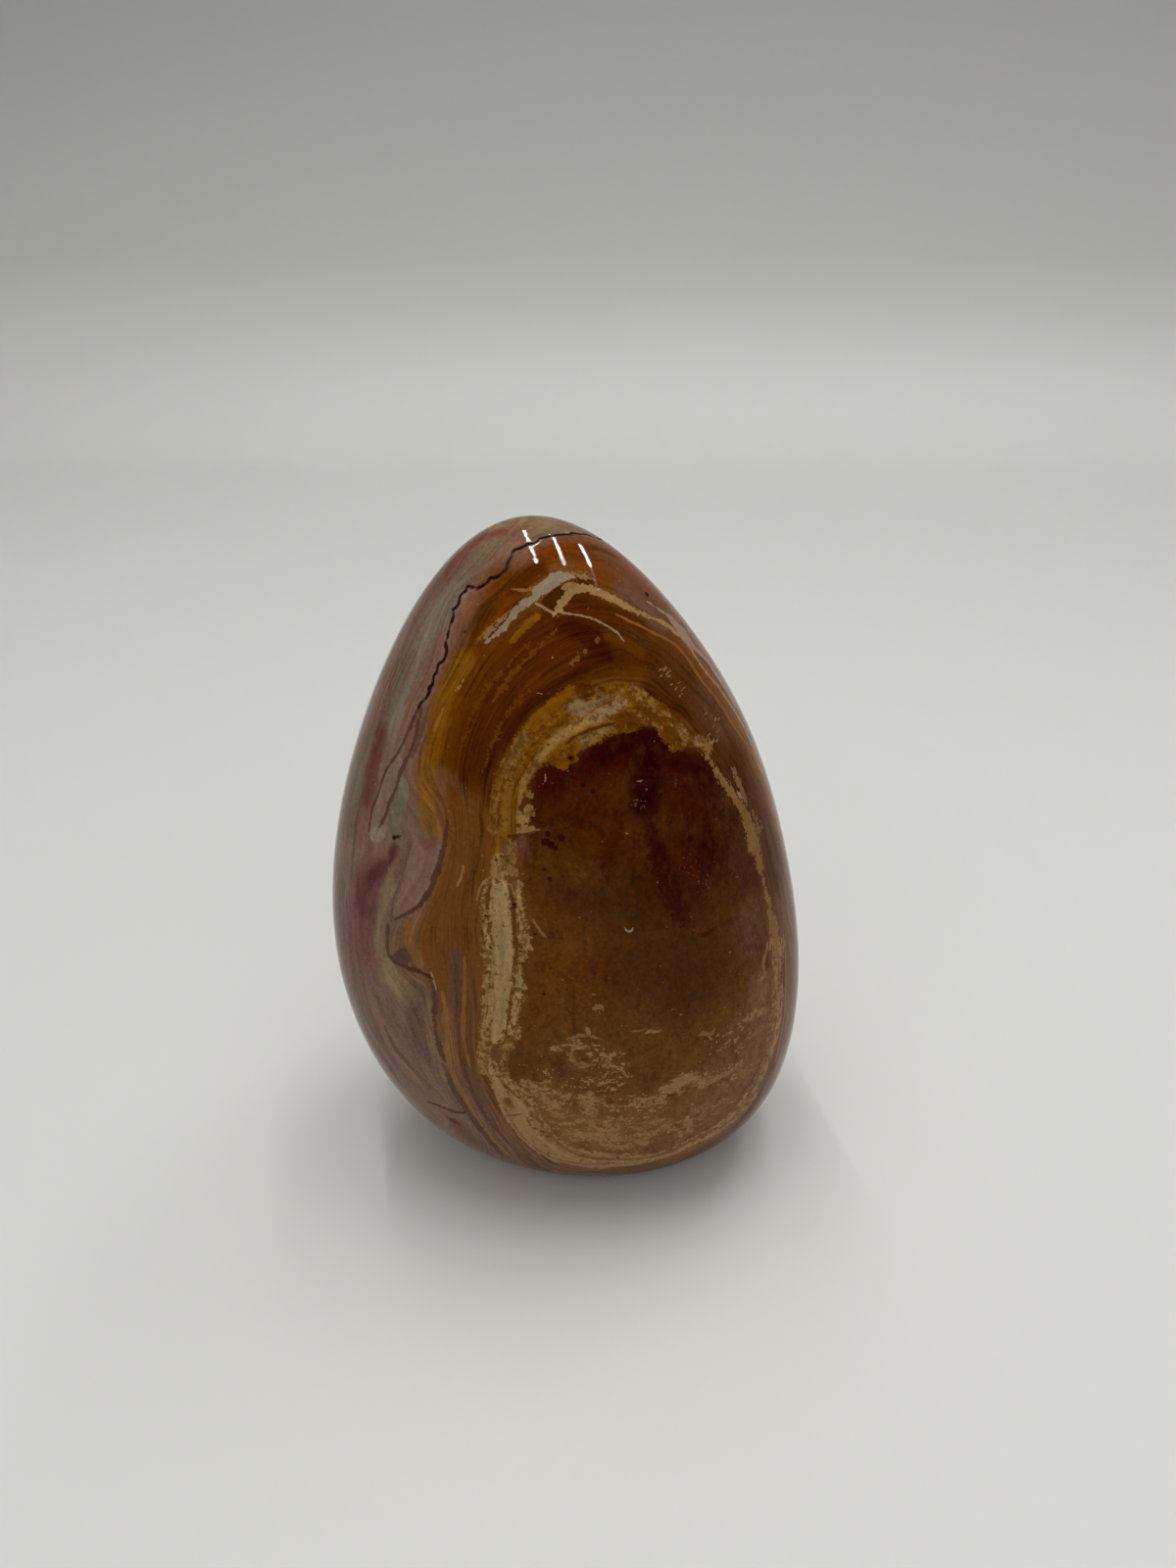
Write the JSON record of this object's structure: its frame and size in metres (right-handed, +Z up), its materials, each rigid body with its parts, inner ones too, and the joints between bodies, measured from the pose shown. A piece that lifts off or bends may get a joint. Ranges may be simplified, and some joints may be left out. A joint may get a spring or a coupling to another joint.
{
  "type": "polished jasper stone",
  "caption": "Egg-shaped polished stone freeform, broader than deep, that stands on a small ground flat.",
  "frame": {"origin": "on the surface the stone stands on, under the middle of its box", "axes": "+Z up, from the ground flat to the crown; +X across the broad face, to the viewer's right; +Y from the broad face with the brown core through the stone to its back"},
  "size_m": [0.0708, 0.0534, 0.1],
  "materials": {
    "jasper": "polished"
  },
  "bodies": {
    "root": {"jasper_stone": "jasper"}
  },
  "joints": []
}
